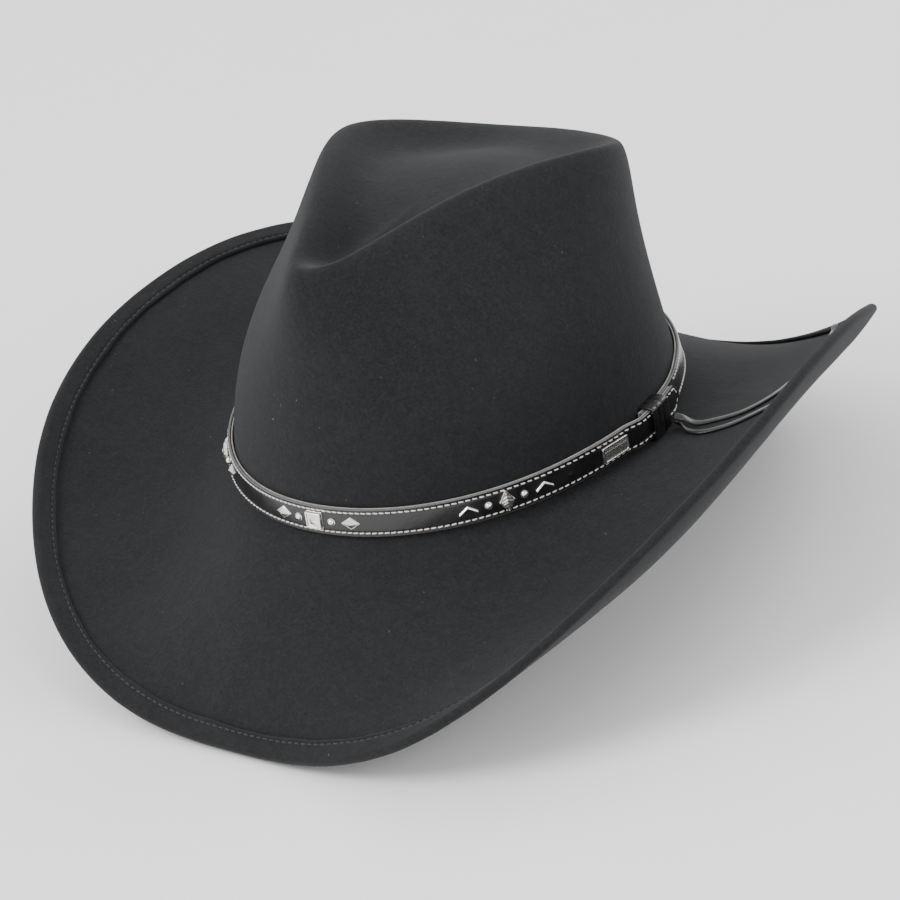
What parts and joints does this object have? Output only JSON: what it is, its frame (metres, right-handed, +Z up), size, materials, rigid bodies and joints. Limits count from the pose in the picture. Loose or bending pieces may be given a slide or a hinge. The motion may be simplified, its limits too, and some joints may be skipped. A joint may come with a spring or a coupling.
{
  "type": "cowboy hat",
  "caption": "Pinch-front felt cowboy hat with a rolled brim, lined crown and a studded leather hatband that lifts off.",
  "frame": {"origin": "centre of the head opening, at the height where the brim meets the crown", "axes": "+Z up through the crown, -Y to the front of the hat, +X to the wearer's left"},
  "size_m": [0.3642, 0.3509, 0.1885],
  "materials": {
    "felt": "matte",
    "wire": "satin",
    "dark_thread": "matte",
    "white_thread": "matte",
    "sweat_leather": "satin",
    "satin": "satin",
    "strap_leather": "satin",
    "backing_leather": "matte",
    "silver": "polished"
  },
  "bodies": {
    "hat": {"felt_body": "felt", "brim_wire": "wire", "hem_stitching": "dark_thread", "sweatband": "sweat_leather", "lining_side": "satin", "sweatband_reed": "sweat_leather", "lining_tip": "satin", "back_bow": "satin"},
    "hatband": {"strap_backing": "backing_leather", "strap_face": "strap_leather", "strap_stitching": "white_thread", "keeper_wrap_1": "strap_leather", "keeper_wrap_2": "strap_leather", "keeper_wrap_3": "strap_leather", "lace_lower": "strap_leather", "lace_upper": "strap_leather", "stud_front_diamond_a": "silver", "stud_front_ball_a": "silver", "stud_front_square": "silver", "stud_front_ball_b": "silver", "stud_front_diamond_b": "silver", "stud_left_chevron_a": "silver", "stud_left_ball_a": "silver", "stud_left_rhombus": "silver", "stud_left_ball_b": "silver", "stud_left_chevron_b": "silver", "stud_rear_diamond_a": "silver", "stud_rear_ball_a": "silver", "stud_rear_concho": "silver", "stud_rear_ball_b": "silver", "stud_rear_diamond_b": "silver", "stud_rear_right_chevron_a": "silver", "stud_rear_right_ball_a": "silver", "stud_rear_right_rhombus": "silver", "stud_rear_right_ball_b": "silver", "stud_rear_right_chevron_b": "silver", "stud_right_diamond_a": "silver", "stud_right_ball_a": "silver", "stud_right_square": "silver", "stud_right_ball_b": "silver", "stud_right_diamond_b": "silver", "stud_front_right_diamond_a": "silver", "stud_front_right_ball_a": "silver", "stud_front_right_concho": "silver", "stud_front_right_ball_b": "silver", "stud_front_right_diamond_b": "silver", "plate": "silver"}
  },
  "joints": [
    {"name": "hatband_lift", "type": "slide", "parent": "hat", "child": "hatband", "axis": [0, 0, 1], "range_m": [0, 0.13]}
  ]
}
